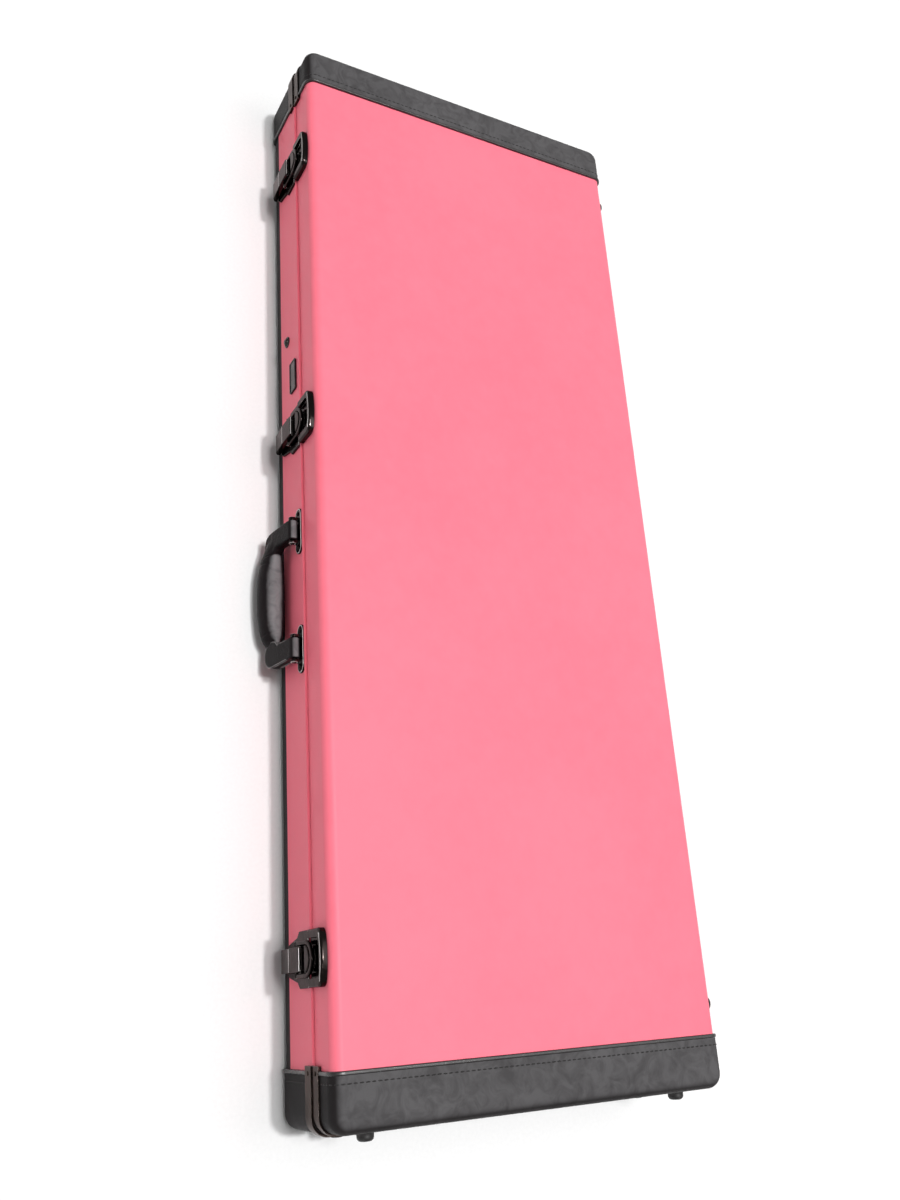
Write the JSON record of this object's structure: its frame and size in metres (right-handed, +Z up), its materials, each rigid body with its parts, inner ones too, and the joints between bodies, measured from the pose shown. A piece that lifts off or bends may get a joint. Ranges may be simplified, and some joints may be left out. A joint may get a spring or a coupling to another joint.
{
  "type": "guitar case",
  "caption": "Hard-shell rectangular electric guitar case lying flat: pink vinyl shells, black leather ends, draw latches, side handle, back hinges and a plush padded inside.",
  "frame": {"origin": "middle of the flat back, on the floor that the case lies on", "axes": "+X along the case to the body end, +Y across it to the hinges, +Z up through the lid"},
  "size_m": [1.0831, 0.4195, 0.1086],
  "materials": {
    "pink_vinyl": "fine-grained vinyl, satin",
    "black_vinyl": "grained vinyl, satin",
    "leather": "smooth, soft sheen",
    "piping": "smooth, glossier than the covers",
    "bronze_metal": "dark bronze, satin",
    "dark_nickel": "dark nickel, polished",
    "stud_metal": "black, polished",
    "badge_metal": "dark, satin, bare",
    "foot_rubber": "matte",
    "plush": "short pile plush"
  },
  "bodies": {
    "base": {"base_frame": "pink_vinyl", "back_cover": "black_vinyl", "base_end_cover_head": "leather", "base_end_cover_body": "leather", "base_piping": "piping", "base_edge_guards": "bronze_metal", "base_guard_nails": "bronze_metal", "latch_plate_1": "dark_nickel", "latch_plate_2": "dark_nickel", "latch_plate_3": "dark_nickel", "latch_pivot_pins": "dark_nickel", "latch_plate_rivets": "dark_nickel", "handle_bracket_1": "dark_nickel", "handle_bracket_2": "dark_nickel", "handle_pins": "dark_nickel", "handle_bracket_rivets": "dark_nickel", "hinge_pins": "dark_nickel", "base_hinge_screws": "dark_nickel", "hinge_base_leaf_1": "dark_nickel", "hinge_base_leaf_2": "dark_nickel", "hinge_base_leaf_3": "dark_nickel", "front_stud": "stud_metal", "badge_plate": "badge_metal", "base_feet": "foot_rubber", "base_lining": "plush", "body_cradle": "plush", "head_cradle": "plush", "neck_rest": "plush", "neck_side_pad": "plush", "accessory_box": "plush"},
    "lid": {"lid_shell": "pink_vinyl", "lid_pad": "plush", "lid_end_cover_head": "leather", "lid_end_cover_body": "leather", "lid_piping": "piping", "lid_edge_guards": "bronze_metal", "lid_guard_nails": "bronze_metal", "latch_catch_1": "dark_nickel", "latch_catch_2": "dark_nickel", "latch_catch_3": "dark_nickel", "latch_catch_rivets": "dark_nickel", "lid_feet": "foot_rubber", "hinge_lid_leaf_1": "dark_nickel", "hinge_lid_leaf_2": "dark_nickel", "hinge_lid_leaf_3": "dark_nickel", "lid_hinge_screws": "dark_nickel"},
    "lever_1": {"latch_lever_1": "dark_nickel", "loop_pin_1": "dark_nickel"},
    "loop_1": {"latch_loop_1": "dark_nickel"},
    "lever_2": {"latch_lever_2": "dark_nickel", "loop_pin_2": "dark_nickel"},
    "loop_2": {"latch_loop_2": "dark_nickel"},
    "lever_3": {"latch_lever_3": "dark_nickel", "loop_pin_3": "dark_nickel"},
    "loop_3": {"latch_loop_3": "dark_nickel"},
    "handle": {"handle_grip": "leather", "handle_strap_1": "leather", "handle_strap_2": "leather"},
    "accessory_lid": {"accessory_lid": "plush", "pull_tab": "leather"}
  },
  "joints": [
    {"name": "lid_hinge", "type": "hinge", "parent": "base", "child": "lid", "pos_m": [0, 0.1962, 0.0694], "axis": [-1, 0, 0], "range_deg": [0, 105]},
    {"name": "latch_lever_1_pivot", "type": "hinge", "parent": "base", "child": "lever_1", "pos_m": [-0.405, -0.1983, 0.061], "axis": [-1, 0, 0], "range_deg": [0, 110]},
    {"name": "latch_loop_1_pivot", "type": "hinge", "parent": "lever_1", "child": "loop_1", "pos_m": [-0.405, -0.1975, 0.048], "axis": [1, 0, 0], "range_deg": [0, 143]},
    {"name": "latch_lever_2_pivot", "type": "hinge", "parent": "base", "child": "lever_2", "pos_m": [-0.091, -0.1983, 0.061], "axis": [-1, 0, 0], "range_deg": [0, 110]},
    {"name": "latch_loop_2_pivot", "type": "hinge", "parent": "lever_2", "child": "loop_2", "pos_m": [-0.091, -0.1975, 0.048], "axis": [1, 0, 0], "range_deg": [0, 143]},
    {"name": "latch_lever_3_pivot", "type": "hinge", "parent": "base", "child": "lever_3", "pos_m": [0.4045, -0.1983, 0.061], "axis": [-1, 0, 0], "range_deg": [0, 110]},
    {"name": "latch_loop_3_pivot", "type": "hinge", "parent": "lever_3", "child": "loop_3", "pos_m": [0.4045, -0.1975, 0.048], "axis": [1, 0, 0], "range_deg": [0, 143]},
    {"name": "handle_swing", "type": "hinge", "parent": "base", "child": "handle", "pos_m": [0.07775, -0.1997, 0.059], "axis": [-1, 0, 0], "range_deg": [0, 163]},
    {"name": "accessory_lid_hinge", "type": "hinge", "parent": "base", "child": "accessory_lid", "pos_m": [-0.09525, -0.044, 0.0624], "axis": [-1, 0, 0], "range_deg": [0, 84]}
  ],
  "couplings": [
    {"joint": "latch_loop_1_pivot", "follows": "latch_lever_1_pivot", "ratio": 1.3},
    {"joint": "latch_loop_2_pivot", "follows": "latch_lever_2_pivot", "ratio": 1.3},
    {"joint": "latch_loop_3_pivot", "follows": "latch_lever_3_pivot", "ratio": 1.3},
    {"joint": "accessory_lid_hinge", "follows": "lid_hinge", "ratio": 0.8}
  ]
}
